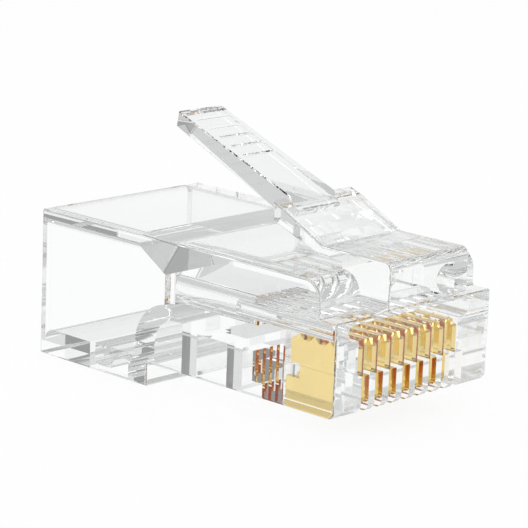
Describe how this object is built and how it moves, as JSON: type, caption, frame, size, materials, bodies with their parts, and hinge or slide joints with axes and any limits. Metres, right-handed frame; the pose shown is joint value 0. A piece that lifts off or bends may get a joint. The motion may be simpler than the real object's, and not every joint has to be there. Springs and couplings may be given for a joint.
{
  "type": "modular plug for data cable",
  "caption": "Clear moulded modular plug with gold contact blades in a comb, spring latch and crimped strain relief bar.",
  "frame": {"origin": "under the middle of the plug, on the plane of the lowered rear underside", "axes": "-Y points out of the mating front, +Y out of the cable entry, +Z to the latch side, X across"},
  "size_m": [0.0116, 0.0222, 0.0137],
  "materials": {
    "clear_polycarbonate": "clear moulded polycarbonate",
    "gold_plate": "gold plated phosphor bronze"
  },
  "bodies": {
    "body": {"housing": "clear_polycarbonate"},
    "latch": {"latch": "clear_polycarbonate"},
    "strain_relief": {"strain_relief_bar": "clear_polycarbonate"},
    "contact_1": {"contact_1": "gold_plate"},
    "contact_2": {"contact_2": "gold_plate"},
    "contact_3": {"contact_3": "gold_plate"},
    "contact_4": {"contact_4": "gold_plate"},
    "contact_5": {"contact_5": "gold_plate"},
    "contact_6": {"contact_6": "gold_plate"},
    "contact_7": {"contact_7": "gold_plate"},
    "contact_8": {"contact_8": "gold_plate"}
  },
  "joints": [
    {"name": "latch_press", "type": "hinge", "parent": "body", "child": "latch", "pos_m": [0, -0.00671, 0.00858], "axis": [-1, 0, 0], "range_deg": [0, 18], "stiffness_Nm_per_rad": 0.1},
    {"name": "strain_relief_press", "type": "hinge", "parent": "body", "child": "strain_relief", "pos_m": [0, 0.00453, 0.00109], "axis": [1, 0, 0], "range_deg": [0, 25]},
    {"name": "contact_1_crimp", "type": "slide", "parent": "body", "child": "contact_1", "axis": [0, 0, 1], "range_m": [0, 0.00058]},
    {"name": "contact_2_crimp", "type": "slide", "parent": "body", "child": "contact_2", "axis": [0, 0, 1], "range_m": [0, 0.00058]},
    {"name": "contact_3_crimp", "type": "slide", "parent": "body", "child": "contact_3", "axis": [0, 0, 1], "range_m": [0, 0.00058]},
    {"name": "contact_4_crimp", "type": "slide", "parent": "body", "child": "contact_4", "axis": [0, 0, 1], "range_m": [0, 0.00058]},
    {"name": "contact_5_crimp", "type": "slide", "parent": "body", "child": "contact_5", "axis": [0, 0, 1], "range_m": [0, 0.00058]},
    {"name": "contact_6_crimp", "type": "slide", "parent": "body", "child": "contact_6", "axis": [0, 0, 1], "range_m": [0, 0.00058]},
    {"name": "contact_7_crimp", "type": "slide", "parent": "body", "child": "contact_7", "axis": [0, 0, 1], "range_m": [0, 0.00058]},
    {"name": "contact_8_crimp", "type": "slide", "parent": "body", "child": "contact_8", "axis": [0, 0, 1], "range_m": [0, 0.00058]}
  ]
}
